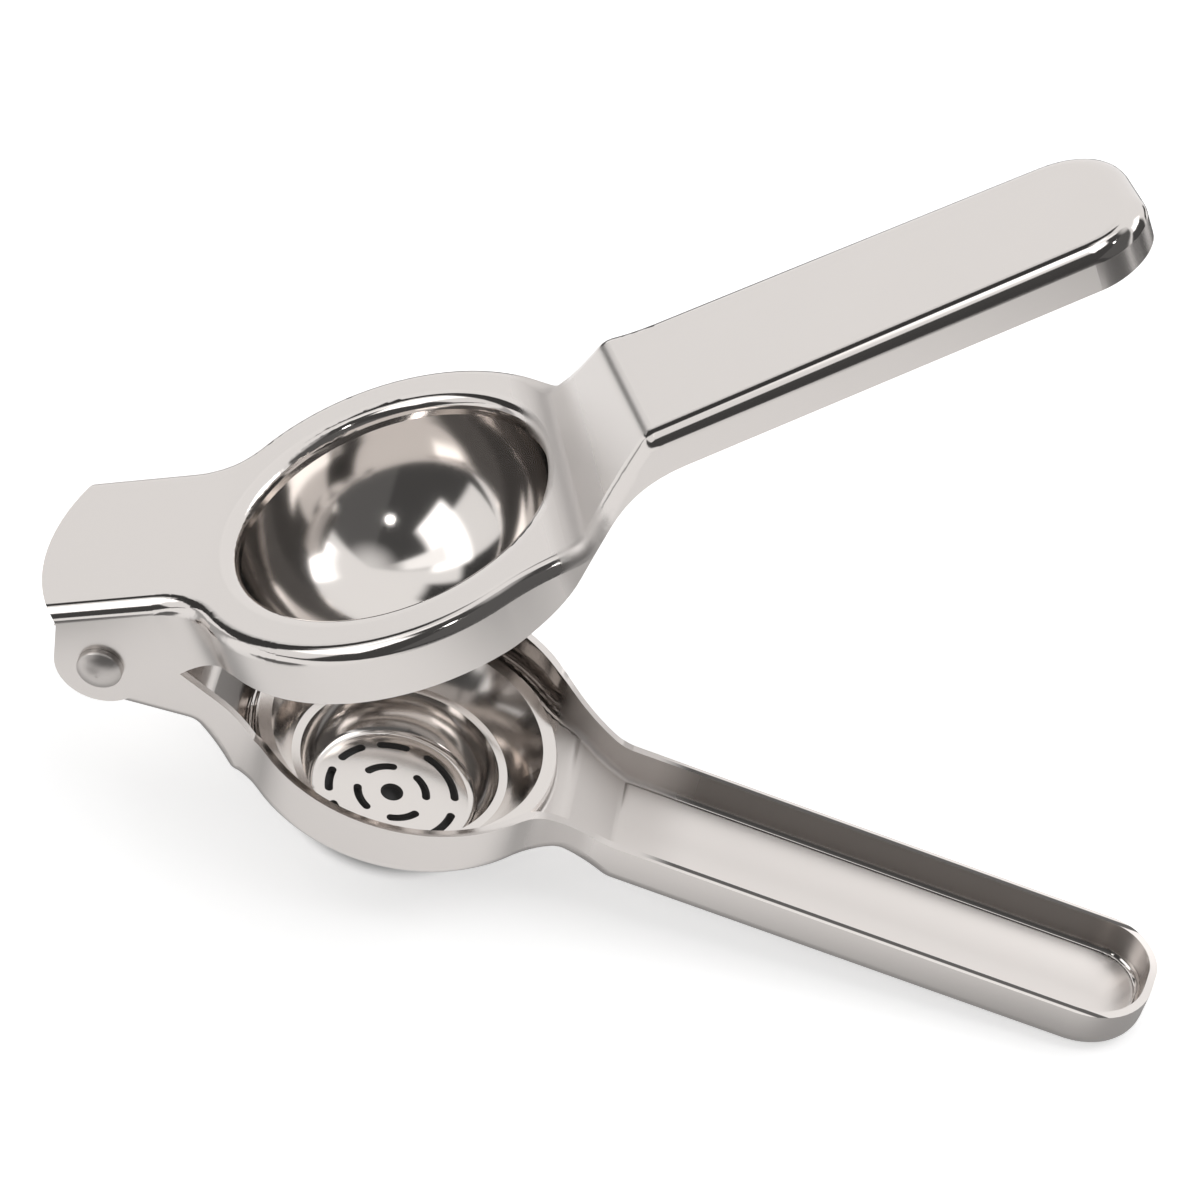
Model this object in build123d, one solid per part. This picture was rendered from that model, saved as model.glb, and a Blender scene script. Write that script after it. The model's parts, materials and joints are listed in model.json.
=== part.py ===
from build123d import *
import math
import os

# Hinged lemon squeezer: two stainless pressings, two drawn cups and a riveted hinge.
# Millimetres. X runs from the hinge to the handles, Y along the hinge pin, Z up. The squeezer stands as it
# is put down open: on the base of the strainer cup and on the end of the lower handle, both at Z = 0, with
# the origin under the middle of its bounding box.

# ---- Sheet and clearances ----
sheet = 1.6                 # plate of both arms
bend = 3.0                  # outer radius of the bend between plate and flange
cup_sheet = 1.2             # wall of both drawn cups
running_fit = 0.06          # radial play of the rivet in its bores
side_play = 0.05            # play between the ears and what they turn against
seat_play = 0.15            # play round the strainer cup in the collar of its arm

# ---- Hinge ----
ring_offset = 59.3          # hinge pin to the centre of both rings
ear_radius = 9.0            # press arm's ears
inner_ear_radius = 8.4      # strainer arm's ears, which turn under the press arm's tongue
shank_radius = 2.6
tenon_radius = 1.8          # end of the shank inside the far head
head_radius = 4.4
head_rim = 1.2
head_height = 2.9
washer_radius = 6.5
washer_thickness = 0.5
sleeve_wall = 1.5
open_angle = 30.35          # angle between the two ring planes as the squeezer stands

# ---- Press arm (upper) ----
press_ring = 41.2           # outer radius round the bowl
press_tongue = 19.8         # half width of the hinge tongue
press_tail = 10.0           # plate behind the pin, at the middle of its curved end
press_tail_bulge = 5.4      # how far the end arc stands behind its corners
press_root = 20.5           # half width of the tapered handle, taken at the ring's centre
press_handle = 16.3         # half width of the handle at its end
press_neck = 45.0           # concave round between ring and handle, seen from above
press_plate = 12.6          # pin axis up to the ring's plate
press_tilt = 4.0            # degrees by which the tongue rises from the ring to the hinge
press_wall = 12.0           # height of the flange round the ring
press_handle_wall = 8.5     # height of the flange along the handle
press_ramp_start = 34.6     # ring centre to the foot of the ramp
press_ramp = 16.8           # run of the ramp, from its foot to the crease
press_ramp_turn = 18.0      # degrees by which the ramp is turned, so that the crease runs aslant
press_flange_start = 33.9   # ring centre to where the flange's lower edge turns up
press_flange_ramp = 20.9    # run of that edge up to the handle's
press_rise = 17.9           # ring plate to crease
press_pitch = 15.3          # degrees of the handle against the ring
press_end = 210.0           # pin to the handle's end
press_end_turn = 20.0       # degrees by which the blunt end is turned, in line with the crease
press_near_corner = 9.0     # rounds of that end's two corners, seen from above
press_far_corner = 18.0
press_edge_foot = 20.0      # rounds of the flange's lower edge at both ends of its ramp
press_edge_crease = 36.0

# ---- Strainer arm (lower) ----
strainer_ring = 34.0
strainer_tail = 5.0
strainer_tail_bulge = 2.5
strainer_handle = 14.5
strainer_neck = 25.0
strainer_plate = 20.1       # pin axis down to the outside of the ring's plate
strainer_tongue_plate = 11.0  # pin axis down to the outside of the tongue
strainer_wall = 11.9
strainer_handle_wall = 9.6
strainer_ramp_start = 32.5
strainer_ramp = 11.6
strainer_flange_start = 26.7
strainer_flange_ramp = 15.5
strainer_drop = 6.8
strainer_pitch = 6.6
strainer_end = 216.0
strainer_end_turn = -10.0
strainer_near_corner = 16.0
strainer_far_corner = 10.0
strainer_edge_foot = 12.0
strainer_edge_crease = 12.0

# ---- Rounds of both arms ----
tongue_neck = 15.0          # concave round between ring and tongue, seen from above
joint_round = 14.0          # where the tongue runs into the ring's plate
ramp_foot = 6.0             # where the ring's plate turns into the ramp
crease_round = 6.0

# ---- Press bowl ----
bowl_bore = 30.6            # inner radius at the seam, also of the arm's rolled collar
collar_depth = 3.7          # ring plate to the seam
roll = 2.4                  # rolled lip of the collar
bowl_depth = 27.0           # seam to the inside of the bottom
bowl_flange = 1.6           # width of the flange under the collar

# ---- Strainer cup ----
cup_rim = 27.0              # inner radius at the rim
cup_flange = 2.6            # width of the rim flange on the collar
cup_collar = 3.4            # height of the collar that carries it, from the plate's outside
ledge_depth = 8.7           # rim to the ledge
ledge_outer = 21.6
ledge_inner = 19.9
cup_depth = 17.5            # rim to the inside of the base
base_radius = 16.4
base_corner = 2.0
slope_bulge = 1.2           # hollow of the slope above the ledge
well_bulge = 0.9            # hollow of the well's wall
base_hole = 2.3
inner_slot_ring = 6.9       # centre line of the inner slots
inner_slot_angle = 44.0
inner_slot_start = 9.0
inner_slot_count = 4
outer_slot_ring = 12.7      # five short slots, and two longer ones that close their ring
outer_slot_angle = 23.0
outer_slot_start = 88.0
outer_slot_pitch = 42.0
outer_slot_count = 5
long_slot_angle = 53.0
long_slot_start = 13.0
middle_slot_angle = 32.0
middle_slot_start = -42.0
slot_width = 1.7

# ---- Construction ----
tall = 200.0                # cutting bodies reach this far
far = 400.0
behind = 80.0               # lines of an arm start this far behind the pin
back = 20.0                 # a tongue is drawn this far behind the pin before its tail is cut
hair = 0.01                 # how near an edge or a corner has to be to the place it is picked by
up_slope = 0.4              # a face whose normal rises more than this belongs to the plate


def rise(run, degrees):
    """Height gained over a run at a slope in degrees."""
    return run * math.tan(math.radians(degrees))


def side_face(points, radii, edge):
    """Side face between a line of straight runs joined by rounds and a level far above or below it."""
    line = FilletPolyline(*points, radius=radii)
    last = points[-1]
    first = points[0]
    rest = Polyline(last, (last[0], edge), (first[0], edge), first)
    return make_face(line.edges() + rest.edges())


def across(face):
    """A side face pushed out to both sides of the middle plane."""
    return extrude(Plane.XZ * face, tall / 2, both=True)


def upright(face):
    """A face seen from above pushed out up and down."""
    return extrude(face, tall / 2, both=True)


def arm_plan(ring, tongue, root, handle, neck, end, end_turn, corners):
    """Outline of an arm from above: ring, tongue and handle, with a square end to the tongue."""
    slant = rise(handle, end_turn)
    end_start = end - abs(slant) - hair
    plan = Pos(ring_offset, 0) * Circle(ring)
    plan += Pos((ring_offset - back) / 2, 0) * Rectangle(ring_offset + back, 2 * tongue)
    plan += make_face(Polyline(
        (ring_offset, -root), (end + slant, -handle), (end - slant, handle), (ring_offset, root), close=True))
    tongue_corners = plan.vertices().filter_by(lambda v: 0 < v.X < ring_offset)
    plan = fillet(tongue_corners, tongue_neck)
    handle_corners = plan.vertices().filter_by(lambda v: ring_offset < v.X < end_start)
    plan = fillet(handle_corners, neck)
    near_corner = plan.vertices().filter_by(lambda v: v.X > end_start).sort_by(Axis.Y)[0]
    plan = fillet(near_corner, corners[0])
    far_corner = plan.vertices().filter_by(lambda v: v.X > end_start).sort_by(Axis.Y)[-1]
    return fillet(far_corner, corners[1])


def curved_tail(half_width, tail, bulge, level):
    """Everything in front of the arc that ends a tongue, and all that lies under a level, where the ears are."""
    radius = (half_width ** 2 + bulge ** 2) / (2 * bulge)
    arc = Pos(radius - tail, 0) * Circle(radius)
    front = Pos(far / 2 + bulge - tail, 0) * Rectangle(far, tall)
    return upright(arc + front) + Pos(0, 0, level - tall / 2) * Box(far, tall, tall)


def under_plate(lead, rounds, foot, crease, pitch, turn, foot_round, top_round, depth):
    """Everything that lies a depth under a plate: a lead, a level ring, a ramp up to the crease, a handle."""
    level = side_face(lead + [(far, foot[1])], rounds, -tall)
    run = (crease[0] - foot[0]) * math.cos(math.radians(turn))
    climb = foot[1] + far * (crease[1] - foot[1]) / run
    ramp = side_face([(-behind, foot[1]), foot, (foot[0] + far, climb)], [foot_round], -tall)
    pivot = Pos(foot[0], 0, 0)
    slope = pivot * Rot(0, 0, turn) * pivot.inverse() * across(lowered(ramp, depth))
    slope &= Pos(crease[0], 0, crease[1]) * Rot(0, -pitch, 0) * Pos(0, 0, -depth - tall / 2) * Box(far, tall, tall)
    ridge = slope.edges().sort_by_distance((crease[0], 0, crease[1]))[0]
    return across(lowered(level, depth)) + fillet(ridge, top_round - depth)


def lowered(face, depth):
    """A side face whose outline is drawn in by a depth."""
    return offset(face, -depth, kind=Kind.INTERSECTION) if depth > 0 else face


def plate_outline(body):
    """Edges where the plate bends into the flange, which leave out the square end of the tongue."""
    plate = body.faces().filter_by(lambda f: f.normal_at(f.center()).Z > up_slope)
    uses = {}
    for edge in plate.edges():
        middle = edge @ 0.5
        key = (round(middle.X, 2), round(middle.Y, 2), round(middle.Z, 2))
        uses.setdefault(key, []).append(edge)
    single = [group[0] for group in uses.values() if len(group) == 1]
    return [edge for edge in single if (edge @ 0.5).X > hair - back]


def ear(radius, corner, foot):
    """Side face of an ear: a round about the pin with straight edges to the plate and to the flange."""
    ends = Polyline(corner, foot)
    return make_hull(Circle(radius).edges() + ends.edges())


def pressing(plan, half_width, outside, inside, under_flange, ear_face, tail_cut):
    """An arm with its plate up and its flange down, and the pin axis through the origin along Y."""
    outer = fillet(plate_outline(upright(plan) & outside), bend)
    open_tail = Pos(-back, 0) * Rectangle(2 * back, 2 * (half_width - sheet))
    core = upright(offset(plan, -sheet) + open_tail) & inside
    core = fillet(plate_outline(core), bend - sheet)
    arm = outer - core - (under_flange - across(ear_face))
    arm &= tail_cut
    return arm - Rot(90, 0, 0) * Cylinder(shank_radius + running_fit, tall)


def add_collar(arm, level, depth, bore):
    """Roll the ring's inner edge down into a short collar round the bore."""
    place = Pos(ring_offset, 0, level - depth / 2)
    arm += place * Cylinder(bore + sheet, depth)
    arm -= place * Cylinder(bore, 2 * depth)
    lip = arm.edges().filter_by(GeomType.CIRCLE).filter_by(
        lambda e: abs(e.radius - bore) < hair and e.center().Z > level - hair)
    arm = fillet(lip, roll)
    root = arm.edges().filter_by(GeomType.CIRCLE).filter_by(
        lambda e: abs(e.radius - bore - sheet) < hair and abs(e.center().Z - level + sheet) < hair)
    return fillet(root, roll - sheet)


def press_arm_shape():
    """Upper arm in its own frame, pin axis at the origin, ring plate level."""
    joint = ring_offset - press_ring + 2 * bend
    foot = ring_offset + press_ramp_start
    crease = foot + press_ramp
    top = press_plate + press_rise
    edge_foot = ring_offset + press_flange_start
    edge_crease = edge_foot + press_flange_ramp
    edge_top = top - press_handle_wall + rise(edge_crease - crease, press_pitch)
    tongue_level = press_plate + rise(joint, press_tilt)
    lead = [(-behind, press_plate + rise(joint + behind, press_tilt)), (joint, press_plate)]
    corner = (press_tail_bulge - press_tail, tongue_level - bend)
    ear_foot = (joint + 2 * bend, press_plate - press_wall)
    flange_lead = [(-behind, tongue_level - bend), corner, ear_foot]

    def under(depth):
        return under_plate(
            lead, [joint_round], (foot, press_plate), (crease, top), press_pitch,
            press_ramp_turn, ramp_foot, crease_round, depth)

    edge_far = (far, edge_top + rise(far - edge_crease, press_pitch))
    edge_line = flange_lead + [(edge_foot, press_plate - press_wall), (edge_crease, edge_top), edge_far]
    under_flange = across(side_face(edge_line, [bend, bend, press_edge_foot, press_edge_crease], -tall))
    plan = arm_plan(
        press_ring, press_tongue, press_root, press_handle, press_neck, press_end, press_end_turn,
        (press_near_corner, press_far_corner))
    tail_cut = curved_tail(press_tongue, press_tail, press_tail_bulge, corner[1])
    arm = pressing(
        plan, press_tongue, under(0), under(sheet), under_flange, ear(ear_radius, corner, ear_foot), tail_cut)
    return add_collar(arm, press_plate, collar_depth, bowl_bore)


def strainer_arm_shape():
    """Lower arm in its own frame: the same kind of pressing, turned over so that its flange stands up."""
    joint = ring_offset - strainer_ring + bend
    step = joint - strainer_plate + strainer_tongue_plate
    foot = ring_offset + strainer_ramp_start
    crease = foot + strainer_ramp
    top = strainer_plate + strainer_drop
    edge_foot = ring_offset + strainer_flange_start
    edge_crease = edge_foot + strainer_flange_ramp
    edge_top = top - strainer_handle_wall + rise(edge_crease - crease, strainer_pitch)
    half = strainer_tongue()
    lead = [(-behind, strainer_tongue_plate), (step, strainer_tongue_plate), (joint, strainer_plate)]
    corner = (strainer_tail_bulge - strainer_tail, strainer_tongue_plate - bend)
    edge = strainer_plate - strainer_wall
    plate_far = (far, top + rise(far - crease, strainer_pitch))
    plate_line = lead + [(foot, strainer_plate), (crease, top), plate_far]
    under = side_face(plate_line, [bend, bend, ramp_foot, crease_round], -tall)
    edge_far = (far, edge_top + rise(far - edge_crease, strainer_pitch))
    edge_line = [(-behind, edge), (edge_foot, edge), (edge_crease, edge_top), edge_far]
    under_flange = across(side_face(edge_line, [strainer_edge_foot, strainer_edge_crease], -tall))
    plan = arm_plan(
        strainer_ring, half, strainer_handle, strainer_handle, strainer_neck, strainer_end, strainer_end_turn,
        (strainer_near_corner, strainer_far_corner))
    tail_cut = curved_tail(half, strainer_tail, strainer_tail_bulge, edge)
    arm = pressing(
        plan, half, across(under), across(lowered(under, sheet)), under_flange,
        ear(inner_ear_radius, corner, (joint + bend, edge)), tail_cut)
    arm = add_collar(arm, strainer_plate, cup_collar, cup_bore())
    return mirror(arm, Plane.XY)


def strainer_tongue():
    """Half width of the strainer arm's tongue, inside the press arm's ears and the washers."""
    return press_tongue - sheet - washer_thickness - side_play


def cup_bore():
    """Bore of the collar that the strainer cup hangs in."""
    return cup_rim + cup_sheet + seat_play


def press_bowl_shape():
    """Deep drawn bowl, its flange butted under the press arm's collar."""
    radius = (bowl_bore ** 2 + bowl_depth ** 2) / (2 * bowl_depth)
    centre = Pos(0, radius - bowl_depth)
    outside = centre * Circle(radius + cup_sheet)
    inside = centre * Circle(radius)
    under = Pos(far / 2, -far / 2) * Rectangle(far, far)
    flange = Pos((bowl_bore + bowl_flange) / 2, -cup_sheet / 2) * Rectangle(bowl_bore + bowl_flange, cup_sheet)
    section = ((outside & under) + flange) - inside
    section = section - Pos(-far / 2, 0) * Rectangle(far, far)
    return Pos(ring_offset, 0, press_plate - collar_depth) * revolve(Plane.XZ * section, Axis.Z)


def slot(ring, start, angle):
    """A curved slot with round ends."""
    return SlotArc(CenterArc((0, 0), ring, start, angle), slot_width)


def slot_ring(ring, start, angle, pitch, count):
    """A row of equal curved slots round the middle."""
    return [slot(ring, start + pitch * i, angle) for i in range(count)]


def strainer_cup_shape():
    """Drawn cup with a hollow slope, a ledge and a slotted well, its rim on the strainer arm's collar."""
    rim = (cup_rim, 0)
    ledge_out = (ledge_outer, -ledge_depth)
    ledge_in = (ledge_inner, -ledge_depth)
    floor = (base_radius, -cup_depth)
    slope_middle = ((cup_rim + ledge_outer) / 2 - slope_bulge / 2, -ledge_depth / 2 - slope_bulge / 2)
    well_middle = ((ledge_inner + base_radius) / 2 + well_bulge, -(ledge_depth + cup_depth) / 2)
    slope = ThreePointArc(rim, slope_middle, ledge_out)
    ledge = Line(ledge_out, ledge_in)
    well = ThreePointArc(ledge_in, well_middle, floor)
    base = Line(floor, (0, -cup_depth))
    lid = Polyline((0, -cup_depth), (0, 0), rim)
    hollow = make_face([slope, ledge, well, base] + lid.edges())
    hollow = fillet(hollow.vertices().filter_by(lambda v: abs(v.X - base_radius) < hair), base_corner)
    under = Pos(far / 2, -far / 2) * Rectangle(far, far)
    skin = offset(hollow, cup_sheet) & under
    flange = Pos(cup_rim + cup_flange / 2, -cup_sheet / 2) * Rectangle(cup_flange, cup_sheet)
    section = skin + flange - hollow
    cup = revolve(Plane.XZ * section, Axis.Z)
    holes = Sketch() + Circle(base_hole)
    holes += slot_ring(inner_slot_ring, inner_slot_start, inner_slot_angle, 360 / inner_slot_count, inner_slot_count)
    holes += slot_ring(outer_slot_ring, outer_slot_start, outer_slot_angle, outer_slot_pitch, outer_slot_count)
    holes += slot(outer_slot_ring, long_slot_start, long_slot_angle)
    holes += slot(outer_slot_ring, middle_slot_start, middle_slot_angle)
    cup -= extrude(Pos(0, 0, -cup_depth - 2 * cup_sheet) * holes, 3 * cup_sheet)
    return Pos(ring_offset, 0, cup_collar + cup_sheet - strainer_plate) * cup


def domed_head(bore):
    """Rivet head seen from above: a short rim and a domed top, with its flat face at Z = 0."""
    crown = head_height - head_rim
    dome = (head_radius ** 2 + crown ** 2) / (2 * crown)
    half_way = head_radius / 2
    outline = [
        Line((bore, 0), (head_radius, 0)),
        Line((head_radius, 0), (head_radius, head_rim)),
        ThreePointArc(
            (head_radius, head_rim),
            (half_way, head_height - dome + math.sqrt(dome ** 2 - half_way ** 2)),
            (0, head_height)),
    ]
    if bore > 0:
        outline.append(Polyline((0, head_height), (0, head_rim), (bore, head_rim), (bore, 0)))
    else:
        outline.append(Line((0, head_height), (0, 0)))
    section = make_face(outline)
    rim = section.vertices().filter_by(lambda v: v.X > head_radius - hair and v.Y > hair)
    return revolve(Plane.XZ * fillet(rim, head_rim / 2), Axis.Z)


def rivet_shapes():
    """Near head with its shank, and the far head that closes the rivet over the tenon."""
    seat = press_tongue + side_play
    near = Pos(0, -seat, 0) * Rot(90, 0, 0) * domed_head(0)
    near += Rot(90, 0, 0) * Cylinder(shank_radius, 2 * seat)
    near += Pos(0, seat + head_rim / 2, 0) * Rot(90, 0, 0) * Cylinder(tenon_radius, head_rim)
    cap = Pos(0, seat, 0) * Rot(-90, 0, 0) * domed_head(tenon_radius + running_fit)
    return near, cap


def tube(inner, outer, length):
    """A tube along the pin, centred on the origin."""
    return Rot(90, 0, 0) * (Cylinder(outer, length) - Cylinder(inner, length))


def corner_reach(corner, turn):
    """How far a corner of the strainer handle reaches, on the side that a turn of its end moves outwards."""
    angle = math.radians(turn)
    return strainer_end + corner + ((strainer_handle - corner) * math.sin(angle) - corner) / math.cos(angle)


def rest_slope():
    """Slope in degrees, and distance under the pin, of the line that the strainer side stands on."""
    base_z = cup_collar + cup_sheet - strainer_plate - cup_depth + base_corner
    near_reach = corner_reach(strainer_near_corner, strainer_end_turn)
    end_x = max(near_reach, corner_reach(strainer_far_corner, -strainer_end_turn)) - bend
    crease = ring_offset + strainer_ramp_start + strainer_ramp
    end_plate = strainer_plate + strainer_drop + rise(end_x - crease, strainer_pitch)
    end_z = bend / math.cos(math.radians(strainer_pitch)) - end_plate
    lowest = end_z - bend < base_z - base_corner - cup_sheet
    near_edge = base_corner - base_radius if lowest else base_radius - base_corner
    base_x = ring_offset + near_edge
    base_round = base_corner + cup_sheet
    span = math.dist((base_x, base_z), (end_x, end_z))
    line = math.atan2(end_z - base_z, end_x - base_x) - math.asin((bend - base_round) / span)
    height = base_z * math.cos(line) - base_x * math.sin(line) - base_round
    return math.degrees(line), height


def main():
    line, height = rest_slope()
    stand = Pos(0, 0, -height) * Rot(0, line, 0)
    lifted = stand * Rot(0, -open_angle, 0)
    rivet_pin, rivet_cap = rivet_shapes()
    washer = tube(shank_radius + running_fit, washer_radius, washer_thickness)
    washer_place = strainer_tongue() + washer_thickness / 2
    sleeve = tube(
        shank_radius + running_fit, shank_radius + running_fit + sleeve_wall, 2 * (strainer_tongue() - sheet))
    parts = {
        "press_arm": lifted * press_arm_shape(),
        "press_bowl": lifted * press_bowl_shape(),
        "strainer_arm": stand * strainer_arm_shape(),
        "strainer_cup": stand * strainer_cup_shape(),
        "rivet_pin": stand * rivet_pin,
        "rivet_cap": stand * rivet_cap,
        "spacer_sleeve": stand * sleeve,
        "washer_near": stand * Pos(0, -washer_place, 0) * washer,
        "washer_far": stand * Pos(0, washer_place, 0) * washer,
    }
    boxes = [shape.bounding_box() for shape in parts.values()]
    middle = (min(box.min.X for box in boxes) + max(box.max.X for box in boxes)) / 2
    centre = Pos(-middle, 0, 0)
    os.makedirs("parts", exist_ok=True)
    for name, shape in parts.items():
        export_step(centre * shape, "parts/" + name + ".step")
    pin = (centre * stand).position
    print("hinge pin at", round(pin.X, 3), round(pin.Y, 3), round(pin.Z, 3), "lower ring slopes", round(line, 3))


if __name__ == "__main__":
    main()
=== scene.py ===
"""Looks of a hinged lemon squeezer: satin pressings with polished bends, mirror cups and a turned rivet."""
import json
import math

import bpy
import numpy as np
from mathutils import Matrix, Vector

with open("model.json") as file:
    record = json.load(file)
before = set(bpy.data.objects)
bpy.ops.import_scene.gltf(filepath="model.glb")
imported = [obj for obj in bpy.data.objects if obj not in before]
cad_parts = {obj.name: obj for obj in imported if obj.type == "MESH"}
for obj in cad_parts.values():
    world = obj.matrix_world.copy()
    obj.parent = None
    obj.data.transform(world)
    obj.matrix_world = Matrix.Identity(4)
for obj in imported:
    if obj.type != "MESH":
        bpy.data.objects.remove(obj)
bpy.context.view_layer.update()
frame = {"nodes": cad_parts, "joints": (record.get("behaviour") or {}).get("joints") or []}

bl_info = {
    "name": "Hinged lemon squeezer",
    "version": (1, 0, 0),
    "blender": (4, 5, 0),
    "location": "View3D > Sidebar > Squeezer",
    "description": "Finishes and studio for a hinged lemon squeezer of pressed stainless steel",
    "category": "Object",
}

MM = 0.001
PIN = frame["joints"][0]["pos_m"]

# Pairs of numbers that are handed to step_between: the first is where a zone begins, the second is where
# it is full. In an arm's own frame, length runs from the pin along the arm and side from its middle plane.

# ---- Zones of both arms ----

PRESS_RAMP_FOOT = 90 * MM
STRAINER_RAMP_FOOT = 93 * MM
FOOT_BAND = (7 * MM, 3 * MM)            # distance from the ramp's foot
BEND_LEAN = (0.04, 0.16)                # sideways part of a bend's normal
END_LEAN = (-0.18, -0.02)               # lengthways part of the normal at the handle's end
OFF_WALL = (0.05, 0.2)                  # upward part of the normal, which is 0 on a wall
END_RUN = 20 * MM                       # over which the handle's end begins
LIP_BEGINS = 0.5 * MM                   # outside the rolled lip's radius
LIP_FULL = 0.3 * MM                     # inside it

# ---- Zones of the lower arm's trough ----

TROUGH_RISE = (0.93, 0.99)              # upward part of the floor's normal
TROUGH_START = (20 * MM, 50 * MM)       # length past the ring's centre
NECK_START = (86 * MM, 97 * MM)
NECK_END = (120 * MM, 108 * MM)
NECK_INSIDE = (0.004, 0.0)              # side times sideways normal, in metres: above 0 on an outer wall
INNER_WALL = (-0.005, -0.010)           # the same, below 0 on an inner wall
RIM_INNER = (12.7 * MM, 12.9 * MM)      # side of the painted shade line along the rim
RIM_OUTER = (13.9 * MM, 13.7 * MM)
RIM_RISE = (0.8, 0.95)
RIM_START = (108 * MM, 116 * MM)

# ---- Finishes ----

FOOT_ROUGHNESS = 0.5
CLOUD_ROUGHNESS = 0.06                  # by which the clouds vary the satin
CLOUD_SCALE = 38.0
SOFT_TONES = (0.98, 1.02)               # factors between which clouds and haze vary a steel's colour
GRAIN_SCALE = (60, 900, 900)            # long grain that runs along the arm
GRAIN_DEPTH = 0.01 * MM
GRAIN_STRENGTH = 0.12
TROUGH_ROUGHNESS = 0.36
TROUGH_METAL = 0.75
# painted light: a paler tone on the trough's floor and neck, in place of the light they reflect
TROUGH_PAINTED_LIGHT = 1.16
NECK_ROUGHNESS = 0.5
NECK_METAL = 0.45
# painted dark reflection: the trough's inner walls are darkened in colour
INNER_WALL_PAINTED_DARK = 0.6
# painted shade: a dark line along the rim's inner edge
RIM_PAINTED_SHADE_TONE = 0.15
DISH = 12.0                             # per metre: rise of the trough's floor towards its far wall
HAZE_SCALE = 55.0
HAZE_ROUGHNESS = 0.03
STRAINER_HAZE = 0.03                    # roughness of the strainer cup over that of the bowl
CUT_HEIGHT = 2.2 * MM                   # above the floor, over the base of the strainer cup
CUT_SHARE = 0.8                         # share of that height below which the cut edges are full
CUT_RISE = (0.6, 0.3)                   # upward part of a cut edge's normal
CUT_ROUGHNESS = 0.6
# painted shade: dark colour on the slots' cut edges
SLOT_PAINTED_SHADE_TONE = 0.12
TURNED_PITCH = 0.22 * MM                # from ring to ring round the pin
TURNED_DEPTH = 0.01 * MM
TURNED_STRENGTH = 0.15
TURNED_HAZE_SCALE = 400.0
TURNED_HAZE_ROUGHNESS = 0.08
TURNED_TONES = (0.92, 1.06)

# ---- Studio ----

SENSOR = 36                             # width of the camera's frame in millimetres
CLIP = (0.01, 20)                       # nearest and farthest that the camera sees, in metres

# The room that the metal reflects. Each panel covers those before it: from and to in degrees, where 0 is the
# back, 90 the left and -90 the right, from and to in height, where 1 is overhead, soft edge in degrees, strength.
ROOM_PANELS = (
    ((60, 88), (-1.0, 0.44), 6, 0.05),        # dark wall, back left
    ((58, 74), (-1.0, 0.72), 5, 0.05),        # its taller part
    ((-100, -58), (-1.0, 0.60), 8, 0.08),     # dark wall, right
    ((-46, -28), (-1.0, 0.12), 5, 0.06),      # low dark post, back right
    ((100, 200), (-1.0, 0.93), 8, 0.07),      # dark front, left half
    ((-200, -118), (-1.0, 0.93), 12, 0.12),   # dark front, right half
    ((94, 128), (-0.02, 0.36), 5, 0.95),      # low strip of light, left
    ((92, 140), (0.42, 0.70), 5, 2.2),        # soft box, left
    ((99, 112), (0.66, 0.90), 5, 1.3),        # its narrow top
    ((-94, -46), (0.72, 0.85), 6, 2.6),       # high soft box, right
)
PANEL_SOFT_HEIGHT = 0.1
GLINT_TOWARDS = (-0.075, -0.611, 0.788)
GLINT_EDGE = (0.9985, 0.9998)           # cosine of the angle from the small lamp's middle
GLINT_STRENGTH = 14.0

# Floor, in metres from the origin. The first four zones are dark for glossy rays only.
FLOOR_FRONT = (-0.27, -0.35)
FLOOR_BACK_START = (0.24, 0.30)
FLOOR_BACK_END = (0.60, 0.50)
FLOOR_UNDER_SHADOW = (0.036, 0.014)            # painted shadow under the object, seen in reflections only: side from the object's middle plane
FLOOR_UNDER_SHADOW_SHARE = 0.6
FLOOR_PATCH = (-0.128, -0.088, 0)       # in front of the hinge
FLOOR_PATCH_REACH = (0.036, 0.022)
FLOOR_PATCH_SHARE = 0.9
CUP_SHADOW_MIDDLE = (-0.0414, 0, 0)              # painted shadow: under the cup the floor is dark for the camera, as its slots show
CUP_SHADOW_REACH = (0.0165, 0.0225)
FLOOR_GREY = 0.5                        # to every ray but the camera's
FLOOR_DARK_GREY = 0.08
FLOOR_PALE = 0.9                        # to the camera
FLOOR_PAINTED_SHADOW_GREY = 0.1                   # to the camera, under the cup: painted shadow
FLOOR_GLOW = 0.54                       # strength for the camera
FLOOR_GLOSSY_GLOW = 0.62                # strength for glossy rays


# ---- Sizes and colours that a user would change ----

class SQUEEZER_PG_arms(bpy.types.PropertyGroup):
    """Finish and landmarks of the two pressings."""
    steel: bpy.props.FloatVectorProperty(
        name="Steel", description="Colour of the satin plate", subtype="COLOR", size=3,
        default=(0.72, 0.681, 0.655), min=0, max=1)
    satin: bpy.props.FloatProperty(
        name="Satin", description="Roughness of the plates and walls", default=0.26, min=0, max=1)
    polish: bpy.props.FloatProperty(
        name="Polish", description="Roughness of the polished bends", default=0.09, min=0, max=1)
    press_slope: bpy.props.FloatProperty(
        name="Upper slope", description="Turn of the upper arm about the pin", subtype="ANGLE",
        default=math.radians(-32.195))
    strainer_slope: bpy.props.FloatProperty(
        name="Lower slope", description="Turn of the lower arm about the pin", subtype="ANGLE",
        default=math.radians(-1.845))
    ramp_turn: bpy.props.FloatProperty(
        name="Ramp turn", description="Turn of the upper arm's ramp, seen from above", subtype="ANGLE",
        default=math.radians(18))
    ring_offset: bpy.props.FloatProperty(
        name="Ring offset", description="Pin to the centre of both rings", unit="LENGTH", default=59.3 * MM)
    lip: bpy.props.FloatProperty(
        name="Lip", description="Outer radius of the rolled lip round the bowl", unit="LENGTH",
        default=33.4 * MM)
    handle_end: bpy.props.FloatProperty(
        name="Handle end", description="Pin to where the handle's end begins", unit="LENGTH",
        default=160 * MM)


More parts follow.
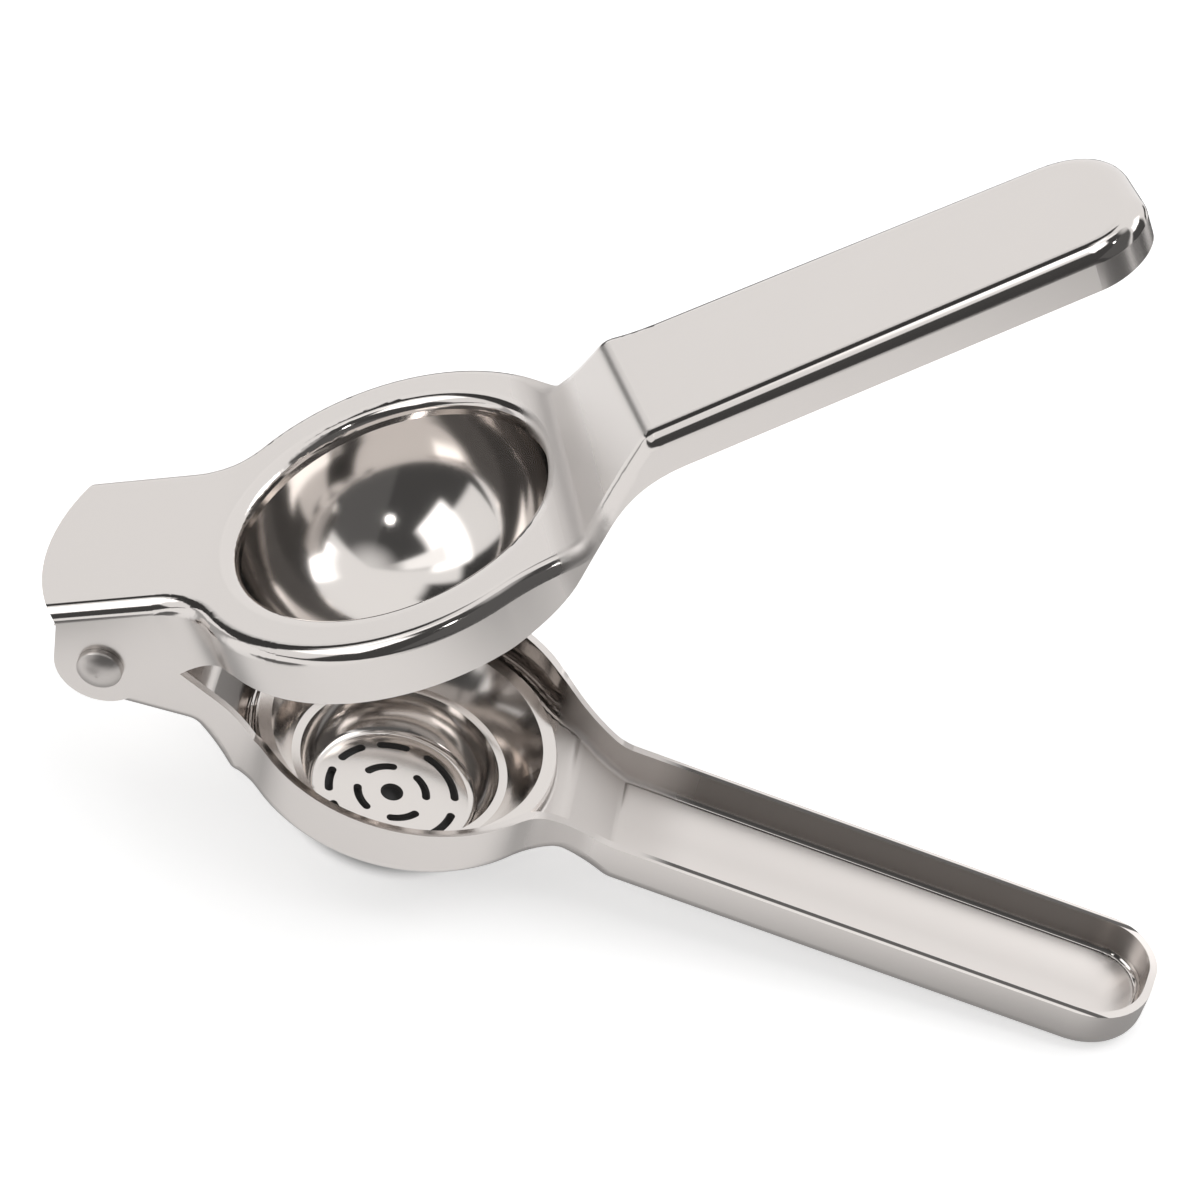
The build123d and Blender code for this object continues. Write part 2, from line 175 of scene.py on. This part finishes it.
class SQUEEZER_PG_cups(bpy.types.PropertyGroup):
    """Finish of the two drawn cups."""
    steel: bpy.props.FloatVectorProperty(
        name="Steel", description="Colour of the polished cups", subtype="COLOR", size=3,
        default=(0.74, 0.70, 0.67), min=0, max=1)
    mirror: bpy.props.FloatProperty(
        name="Mirror", description="Roughness of the polished bowl", default=0.09, min=0, max=1)


class SQUEEZER_PG_hinge(bpy.types.PropertyGroup):
    """Finish of the rivet, its sleeve and its washers."""
    steel: bpy.props.FloatVectorProperty(
        name="Steel", description="Colour of the rivet", subtype="COLOR", size=3,
        default=(0.62, 0.585, 0.56), min=0, max=1)
    turned: bpy.props.FloatProperty(
        name="Turned", description="Roughness of the turned rivet", default=0.36, min=0, max=1)


class SQUEEZER_PG_stage(bpy.types.PropertyGroup):
    """Camera and floor."""
    azimuth: bpy.props.FloatProperty(
        name="Azimuth", description="Camera's turn round the object", subtype="ANGLE",
        default=math.radians(-4.729))
    elevation: bpy.props.FloatProperty(
        name="Elevation", description="Camera's angle above the floor", subtype="ANGLE",
        default=math.radians(42.301))
    roll: bpy.props.FloatProperty(
        name="Roll", description="Camera's turn about its own axis", subtype="ANGLE",
        default=math.radians(19.622))
    distance: bpy.props.FloatProperty(
        name="Distance", description="Camera to the aim point", unit="LENGTH", default=0.76574)
    aim: bpy.props.FloatVectorProperty(
        name="Aim", description="Point that the camera looks at", subtype="XYZ", unit="LENGTH", size=3,
        default=(-0.013242, 0.010352, 0.057533))
    lens: bpy.props.FloatProperty(
        name="Lens", description="Focal length in millimetres on a 36 mm frame", default=120, min=10)
    floor: bpy.props.FloatProperty(
        name="Floor", description="Half side of the floor", unit="LENGTH", default=1.6)


# ---- Node helpers ----

def feed(tree, socket, value):
    """Links a socket to an input, or sets the input to a plain value."""
    if isinstance(value, bpy.types.NodeSocket):
        tree.links.new(value, socket)
    else:
        socket.default_value = value


def node(tree, kind, settings=(), **inputs):
    """Adds a node, sets its settings, and feeds its inputs by name."""
    made = tree.nodes.new(kind)
    for key, value in dict(settings).items():
        setattr(made, key, value)
    for key, value in inputs.items():
        feed(tree, made.inputs[key], value)
    return made


def maths(tree, operation, *values):
    """One Math node: operation on one or two values."""
    made = tree.nodes.new("ShaderNodeMath")
    made.operation = operation
    for socket, value in zip(made.inputs, values):
        feed(tree, socket, value)
    return made.outputs[0]


def product(tree, first, *others):
    """All the values multiplied."""
    for other in others:
        first = maths(tree, "MULTIPLY", first, other)
    return first


def vector_maths(tree, operation, first, second):
    """Distance or dot product of two vectors."""
    made = tree.nodes.new("ShaderNodeVectorMath")
    made.operation = operation
    feed(tree, made.inputs[0], first)
    feed(tree, made.inputs[1], second)
    return made.outputs["Value"]


def split(tree, vector):
    """The X, Y and Z of a vector."""
    return node(tree, "ShaderNodeSeparateXYZ", Vector=vector).outputs


def step_between(tree, value, begins, full):
    """Smooth step: 0 up to begins, 1 from full on, eased between. Full may be the lower of the two."""
    made = tree.nodes.new("ShaderNodeMapRange")
    made.interpolation_type = "SMOOTHSTEP"
    for name, given in (("Value", value), ("From Min", begins), ("From Max", full)):
        feed(tree, made.inputs[name], given)
    return made.outputs["Result"]


def blend_values(tree, share, low, high):
    """low where share is 0, high where it is 1."""
    made = tree.nodes.new("ShaderNodeMix")
    made.data_type = "FLOAT"
    for socket, value in zip((made.inputs[0], made.inputs[2], made.inputs[3]), (share, low, high)):
        feed(tree, socket, value)
    return made.outputs[0]


def blend_colours(tree, share, low, high):
    """Colour low where share is 0, colour high where it is 1."""
    made = tree.nodes.new("ShaderNodeMix")
    made.data_type = "RGBA"
    for socket, value in zip((made.inputs[0], made.inputs[6], made.inputs[7]), (share, low, high)):
        feed(tree, socket, value)
    return made.outputs[2]


def empty_tree(owner, output_kind):
    """The owner's node tree with nothing in it but a new output."""
    owner.use_nodes = True
    owner.node_tree.nodes.clear()
    return owner.node_tree, owner.node_tree.nodes.new(output_kind)


def metal(name):
    """A new material with one metal shader."""
    material = bpy.data.materials.new(name)
    tree, output = empty_tree(material, "ShaderNodeOutputMaterial")
    shader = node(tree, "ShaderNodeBsdfPrincipled", Metallic=1.0)
    tree.links.new(shader.outputs[0], output.inputs["Surface"])
    return material, tree, shader


def local_place(tree, slope):
    """Place, its parts and the normal's parts in an arm's own frame: the pin at the origin and the ring level."""
    source = tree.nodes.new("ShaderNodeTexCoord").outputs
    place = node(tree, "ShaderNodeMapping", {"vector_type": "TEXTURE"}, Vector=source["Object"],
                 Location=PIN, Rotation=(0, slope, 0)).outputs[0]
    normal = node(tree, "ShaderNodeMapping", {"vector_type": "TEXTURE"}, Vector=source["Normal"],
                  Rotation=(0, slope, 0)).outputs[0]
    return place, split(tree, place), split(tree, normal)


def tinted(colour, factor):
    """A colour with alpha, brighter or darker by a factor."""
    return tuple(min(1.0, c * factor) for c in colour) + (1.0,)


def grey(value):
    """A grey with alpha."""
    return (value, value, value, 1)


# ---- Materials ----

def polished_share(tree, p, n, ramp_turn, props):
    """1 on the bends and on the rolled lip. A bend is where the normal leans sideways, across the turned ramp, or
    lengthways at the handle's end, but isn't level as on a wall. The lip is a disc round the ring's centre."""
    sideways = maths(tree, "SUBTRACT", maths(tree, "MULTIPLY", n[1], math.cos(ramp_turn)),
                     maths(tree, "MULTIPLY", n[0], math.sin(ramp_turn)))
    leans = step_between(tree, maths(tree, "ABSOLUTE", sideways), *BEND_LEAN)
    at_end = step_between(tree, p[0], props.handle_end, props.handle_end + END_RUN)
    leans = maths(tree, "MAXIMUM", leans, product(tree, at_end, step_between(tree, n[0], *END_LEAN)))
    bend = product(tree, leans, step_between(tree, maths(tree, "ABSOLUTE", n[2]), *OFF_WALL))
    on_plate = node(tree, "ShaderNodeCombineXYZ", X=p[0], Y=p[1]).outputs[0]
    from_ring = vector_maths(tree, "DISTANCE", on_plate, (props.ring_offset, 0, 0))
    lip = step_between(tree, from_ring, props.lip + LIP_BEGINS, props.lip - LIP_FULL)
    return maths(tree, "MAXIMUM", bend, lip)


def foot_share(tree, p, ramp_turn, ramp_foot):
    """1 in a band along the ramp's foot, a line across the arm turned as the ramp is."""
    along = maths(tree, "ADD", maths(tree, "MULTIPLY", p[0], math.cos(ramp_turn)),
                  maths(tree, "MULTIPLY", p[1], math.sin(ramp_turn)))
    from_foot = maths(tree, "ABSOLUTE", maths(tree, "SUBTRACT", along, ramp_foot))
    return step_between(tree, from_foot, *FOOT_BAND)


def trough_finish(tree, shader, p, n, rough, tone, bump, props):
    """Lays the trough's finish over the roughness, tone and bump of its arm, and returns them: a blasted floor
    whose normal dishes up to the far wall, a dull neck, painted light as a paler tone on floor and neck, inner
    walls painted dark as a painted dark reflection, and a painted shade line along the rim."""
    floor = product(tree, step_between(tree, n[2], *TROUGH_RISE),
                    step_between(tree, p[0], *(props.ring_offset + start for start in TROUGH_START)))
    outward = product(tree, p[1], n[1])
    neck = product(tree, step_between(tree, p[0], *NECK_START), step_between(tree, p[0], *NECK_END),
                   step_between(tree, outward, *NECK_INSIDE))
    rough = blend_values(tree, floor, rough, TROUGH_ROUGHNESS)
    rough = blend_values(tree, neck, rough, NECK_ROUGHNESS)
    metal_share = blend_values(tree, floor, 1.0, TROUGH_METAL)
    feed(tree, shader.inputs["Metallic"], blend_values(tree, neck, metal_share, NECK_METAL))
    # painted dark reflection: the inner walls are darkened in colour
    inner = step_between(tree, outward, *INNER_WALL)
    tone = blend_colours(tree, inner, tone, tinted(props.steel, INNER_WALL_PAINTED_DARK))
    # painted light: a paler tone on the floor and the neck
    pale = maths(tree, "MAXIMUM", floor, neck)
    tone = blend_colours(tree, pale, tone, tinted(props.steel, TROUGH_PAINTED_LIGHT))
    side = maths(tree, "ABSOLUTE", p[1])
    # painted shade: a dark line along the rim's inner edge
    painted_rim_shade = product(tree, step_between(tree, side, *RIM_INNER), step_between(tree, side, *RIM_OUTER),
                       step_between(tree, n[2], *RIM_RISE), step_between(tree, p[0], *RIM_START))
    tone = blend_colours(tree, painted_rim_shade, tone, tinted(props.steel, RIM_PAINTED_SHADE_TONE))
    beyond = maths(tree, "MAXIMUM", p[1], 0.0)
    dish = product(tree, beyond, beyond, floor, DISH)
    bump = node(tree, "ShaderNodeBump", Height=dish, Distance=1.0, Strength=1.0, Normal=bump).outputs[0]
    return rough, tone, bump


def arm_material(name, slope, ramp_turn, ramp_foot, has_trough, props):
    """Satin plate and walls, polished bends and lip, and a dull band along the ramp's foot. Soft clouds vary the
    roughness and the tone, and a fine grain along the arm is the bump, which the polish takes away."""
    material, tree, shader = metal(name)
    place, p, n = local_place(tree, slope)
    polished = polished_share(tree, p, n, ramp_turn, props)
    stretched = node(tree, "ShaderNodeMapping", Vector=place, Scale=GRAIN_SCALE).outputs[0]
    grain = node(tree, "ShaderNodeTexNoise", Vector=stretched, Scale=1.0, Detail=3.0).outputs["Fac"]
    cloud = node(tree, "ShaderNodeTexNoise", Vector=place, Scale=CLOUD_SCALE, Detail=3.0).outputs["Fac"]
    from_mean = product(tree, maths(tree, "SUBTRACT", cloud, 0.5), CLOUD_ROUGHNESS)
    rough = blend_values(tree, polished, maths(tree, "ADD", props.satin, from_mean), props.polish)
    dull = maths(tree, "MAXIMUM", rough, FOOT_ROUGHNESS)
    rough = blend_values(tree, foot_share(tree, p, ramp_turn, ramp_foot), rough, dull)
    tone = blend_colours(tree, cloud, *(tinted(props.steel, factor) for factor in SOFT_TONES))
    strength = blend_values(tree, polished, GRAIN_STRENGTH, 0.0)
    bump = node(tree, "ShaderNodeBump", Height=grain, Distance=GRAIN_DEPTH, Strength=strength).outputs[0]
    if has_trough:
        rough, tone, bump = trough_finish(tree, shader, p, n, rough, tone, bump, props)
    for socket, value in (("Roughness", rough), ("Base Color", tone), ("Normal", bump)):
        feed(tree, shader.inputs[socket], value)
    return material


def cup_material(name, colour, roughness, cut_height):
    """Mirror polish with a faint haze. Cut edges of slots below cut_height are rough and painted dark, as painted
    shade in the holes, and 0 means none.
    """
    material, tree, shader = metal(name)
    source = tree.nodes.new("ShaderNodeTexCoord").outputs
    haze = node(tree, "ShaderNodeTexNoise", Vector=source["Object"], Scale=HAZE_SCALE, Detail=2.0).outputs["Fac"]
    rough = maths(tree, "ADD", roughness, product(tree, haze, HAZE_ROUGHNESS))
    tone = blend_colours(tree, haze, *(tinted(colour, factor) for factor in SOFT_TONES))
    if cut_height:
        low = step_between(tree, split(tree, source["Object"])[2], cut_height, CUT_SHARE * cut_height)
        rise = maths(tree, "ABSOLUTE", split(tree, source["Normal"])[2])
        cut = product(tree, low, step_between(tree, rise, *CUT_RISE))
        rough = blend_values(tree, cut, rough, CUT_ROUGHNESS)
        # painted shade on the slots' cut edges
        tone = blend_colours(tree, cut, tone, tinted(colour, SLOT_PAINTED_SHADE_TONE))
    feed(tree, shader.inputs["Roughness"], rough)
    feed(tree, shader.inputs["Base Color"], tone)
    return material


def rivet_material(name, colour, roughness):
    """Turned steel: a sine of the distance from the pin's axis gives fine rings, and a haze varies the rest."""
    material, tree, shader = metal(name)
    place, p, _ = local_place(tree, 0.0)
    across = node(tree, "ShaderNodeCombineXYZ", X=p[0], Z=p[2]).outputs[0]
    radius = vector_maths(tree, "DISTANCE", across, (0, 0, 0))
    ring = maths(tree, "SINE", product(tree, radius, 2 * math.pi / TURNED_PITCH))
    haze = node(tree, "ShaderNodeTexNoise", Vector=place, Scale=TURNED_HAZE_SCALE, Detail=3.0).outputs["Fac"]
    rough = maths(tree, "ADD", roughness, product(tree, haze, TURNED_HAZE_ROUGHNESS))
    tone = blend_colours(tree, haze, *(tinted(colour, factor) for factor in TURNED_TONES))
    bump = node(tree, "ShaderNodeBump", Height=ring, Distance=TURNED_DEPTH, Strength=TURNED_STRENGTH).outputs[0]
    for socket, value in (("Roughness", rough), ("Base Color", tone), ("Normal", bump)):
        feed(tree, shader.inputs[socket], value)
    return material


def dress(name, material):
    """Gives a node of the frame its finish."""
    part = frame["nodes"][name]
    part.data.materials.clear()
    part.data.materials.append(material)


# ---- Pieces ----

class SQUEEZER_OT_arms(bpy.types.Operator):
    """Satin pressings with polished bends"""
    bl_idname = "squeezer.arms"
    bl_label = "Arms"

    def execute(self, context):
        props = context.scene.squeezer_arms
        dress("press_arm", arm_material(
            "press_arm_steel", props.press_slope, props.ramp_turn, PRESS_RAMP_FOOT, False, props))
        dress("strainer_arm", arm_material(
            "strainer_arm_steel", props.strainer_slope, 0.0, STRAINER_RAMP_FOOT, True, props))
        return {"FINISHED"}


class SQUEEZER_OT_cups(bpy.types.Operator):
    """Mirror polished bowl and strainer cup"""
    bl_idname = "squeezer.cups"
    bl_label = "Cups"

    def execute(self, context):
        props = context.scene.squeezer_cups
        dress("press_bowl", cup_material("bowl_mirror", props.steel, props.mirror, 0.0))
        dress("strainer_cup", cup_material(
            "strainer_polish", props.steel, props.mirror + STRAINER_HAZE, CUT_HEIGHT))
        return {"FINISHED"}


class SQUEEZER_OT_hinge(bpy.types.Operator):
    """Rivet, sleeve and washers"""
    bl_idname = "squeezer.hinge"
    bl_label = "Hinge"

    def execute(self, context):
        props = context.scene.squeezer_hinge
        steel = rivet_material("rivet_turned", props.steel, props.turned)
        for name in ("rivet_pin", "rivet_cap", "spacer_sleeve", "washer_near", "washer_far"):
            dress(name, steel)
        return {"FINISHED"}


# ---- Stage ----

def camera_matrix(props):
    """The camera's place: back from the aim point by its azimuth, elevation and distance, then rolled."""
    back = Vector((math.sin(props.azimuth) * math.cos(props.elevation),
                   -math.cos(props.azimuth) * math.cos(props.elevation), math.sin(props.elevation)))
    right = Vector((math.cos(props.azimuth), math.sin(props.azimuth), 0))
    up = back.cross(right)
    turned_right = math.cos(props.roll) * right + math.sin(props.roll) * up
    turned_up = math.cos(props.roll) * up - math.sin(props.roll) * right
    place = Matrix((turned_right, turned_up, back)).transposed().to_4x4()
    place.translation = Vector(props.aim) + props.distance * back
    return place


def panel_share(tree, turn, height, sides, heights, soft):
    """1 between a panel's two sides and its two heights, eased to 0 past each of them."""
    return product(
        tree, step_between(tree, turn, sides[0] - soft, sides[0]),
        step_between(tree, turn, sides[1] + soft, sides[1]),
        step_between(tree, height, heights[0] - PANEL_SOFT_HEIGHT, heights[0]),
        step_between(tree, height, heights[1] + PANEL_SOFT_HEIGHT, heights[1]))


def studio_sky(scene):
    """White for the camera. Other rays see a bright room with dark panels, soft boxes and one small lamp."""
    world = bpy.data.worlds.new("studio")
    scene.world = world
    tree, output = empty_tree(world, "ShaderNodeOutputWorld")
    towards = tree.nodes.new("ShaderNodeTexCoord").outputs["Generated"]
    direction = split(tree, towards)
    around = maths(tree, "ARCTAN2", product(tree, direction[0], -1.0), direction[1])
    turn = product(tree, around, 180 / math.pi)
    strength = 1.0
    for sides, heights, soft, panel_strength in ROOM_PANELS:
        share = panel_share(tree, turn, direction[2], sides, heights, soft)
        strength = blend_values(tree, share, strength, panel_strength)
    glint = step_between(tree, vector_maths(tree, "DOT_PRODUCT", towards, GLINT_TOWARDS), *GLINT_EDGE)
    strength = blend_values(tree, glint, strength, GLINT_STRENGTH)
    rays = tree.nodes.new("ShaderNodeLightPath").outputs
    strength = blend_values(tree, rays["Is Camera Ray"], strength, 1.0)
    sky = node(tree, "ShaderNodeBackground", Color=grey(1), Strength=strength)
    tree.links.new(sky.outputs[0], output.inputs["Surface"])


def floor_material():
    """Pale floor that glows, so that it is white for the camera and still takes the object's shadow. Under the cup
    its glow is off and its colour dark, a painted shadow. Glossy rays see it pale too, with dark areas that the
    bends and the crease mirror, one of them a painted shadow under the object."""
    material = bpy.data.materials.new("floor_white")
    tree, output = empty_tree(material, "ShaderNodeOutputMaterial")
    rays = tree.nodes.new("ShaderNodeLightPath").outputs
    place = tree.nodes.new("ShaderNodeTexCoord").outputs["Object"]
    depth = split(tree, place)[1]
    front = step_between(tree, depth, *FLOOR_FRONT)
    back = product(tree, step_between(tree, depth, *FLOOR_BACK_START), step_between(tree, depth, *FLOOR_BACK_END))
    side = maths(tree, "ABSOLUTE", depth)
    # painted shadow under the object, for glossy rays only
    under = product(tree, step_between(tree, side, *FLOOR_UNDER_SHADOW), FLOOR_UNDER_SHADOW_SHARE)
    from_patch = vector_maths(tree, "DISTANCE", place, FLOOR_PATCH)
    patch = product(tree, step_between(tree, from_patch, *FLOOR_PATCH_REACH), FLOOR_PATCH_SHARE)
    darkest = front
    for zone in (back, under, patch):
        darkest = maths(tree, "MAXIMUM", darkest, zone)
    dark = product(tree, rays["Is Glossy Ray"], darkest)
    # painted shadow under the cup, for the camera
    outside_painted_shadow = step_between(tree, vector_maths(tree, "DISTANCE", place, CUP_SHADOW_MIDDLE), *CUP_SHADOW_REACH)
    mirrored = blend_colours(tree, dark, grey(FLOOR_GREY), grey(FLOOR_DARK_GREY))
    seen = blend_colours(tree, outside_painted_shadow, grey(FLOOR_PAINTED_SHADOW_GREY), grey(FLOOR_PALE))
    diffuse = node(tree, "ShaderNodeBsdfDiffuse", Color=blend_colours(
        tree, rays["Is Camera Ray"], mirrored, seen))
    camera_glow = product(tree, rays["Is Camera Ray"], FLOOR_GLOW, outside_painted_shadow)
    glossy_glow = product(tree, maths(tree, "SUBTRACT", rays["Is Glossy Ray"], dark), FLOOR_GLOSSY_GLOW)
    glow = node(tree, "ShaderNodeEmission", Color=grey(1), Strength=maths(
        tree, "ADD", camera_glow, glossy_glow))
    both = tree.nodes.new("ShaderNodeAddShader")
    for socket, shader in zip(both.inputs, (diffuse, glow)):
        tree.links.new(shader.outputs[0], socket)
    tree.links.new(both.outputs[0], output.inputs["Surface"])
    return material


def add_camera(scene, props):
    """The scene's camera, without depth of field or shift."""
    data = bpy.data.cameras.new("camera")
    data.lens = props.lens
    data.sensor_width = SENSOR
    data.clip_start, data.clip_end = CLIP
    camera = bpy.data.objects.new("camera", data)
    scene.collection.objects.link(camera)
    camera.matrix_world = camera_matrix(props)
    scene.camera = camera


def add_floor(scene, props):
    """A square floor under the object."""
    corners = props.floor * np.array([(-1, -1, 0), (1, -1, 0), (1, 1, 0), (-1, 1, 0)])
    mesh = bpy.data.meshes.new("floor")
    mesh.from_pydata(corners.tolist(), [], [(0, 1, 2, 3)])
    floor = bpy.data.objects.new("floor", mesh)
    scene.collection.objects.link(floor)
    floor.data.materials.append(floor_material())


class SQUEEZER_OT_stage(bpy.types.Operator):
    """Camera, pale floor and soft studio light"""
    bl_idname = "squeezer.stage"
    bl_label = "Stage"

    def execute(self, context):
        scene = context.scene
        add_camera(scene, scene.squeezer_stage)
        add_floor(scene, scene.squeezer_stage)
        studio_sky(scene)
        scene.view_settings.view_transform = "Standard"
        return {"FINISHED"}


class SQUEEZER_PT_panel(bpy.types.Panel):
    """Lists the squeezer's pieces"""
    bl_label = "Squeezer"
    bl_idname = "SQUEEZER_PT_panel"
    bl_space_type = "VIEW_3D"
    bl_region_type = "UI"
    bl_category = "Squeezer"

    def draw(self, context):
        for operator in OPERATORS:
            self.layout.operator(operator.bl_idname)


OPERATORS = (SQUEEZER_OT_arms, SQUEEZER_OT_cups, SQUEEZER_OT_hinge, SQUEEZER_OT_stage)
GROUPS = {
    "squeezer_arms": SQUEEZER_PG_arms,
    "squeezer_cups": SQUEEZER_PG_cups,
    "squeezer_hinge": SQUEEZER_PG_hinge,
    "squeezer_stage": SQUEEZER_PG_stage,
}


def register():
    """Registers the property groups, the operators and the panel."""
    for name, group in GROUPS.items():
        bpy.utils.register_class(group)
        setattr(bpy.types.Scene, name, bpy.props.PointerProperty(type=group))
    for made in OPERATORS + (SQUEEZER_PT_panel,):
        bpy.utils.register_class(made)


def unregister():
    """Takes them away again."""
    for made in (SQUEEZER_PT_panel,) + OPERATORS:
        bpy.utils.unregister_class(made)
    for name, group in GROUPS.items():
        delattr(bpy.types.Scene, name)
        bpy.utils.unregister_class(group)


def main():
    """Registers the add-on, gives every piece its finish and makes the stage."""
    register()
    bpy.ops.squeezer.arms()
    bpy.ops.squeezer.cups()
    bpy.ops.squeezer.hinge()
    bpy.ops.squeezer.stage()


if __name__ == "__main__":
    main()
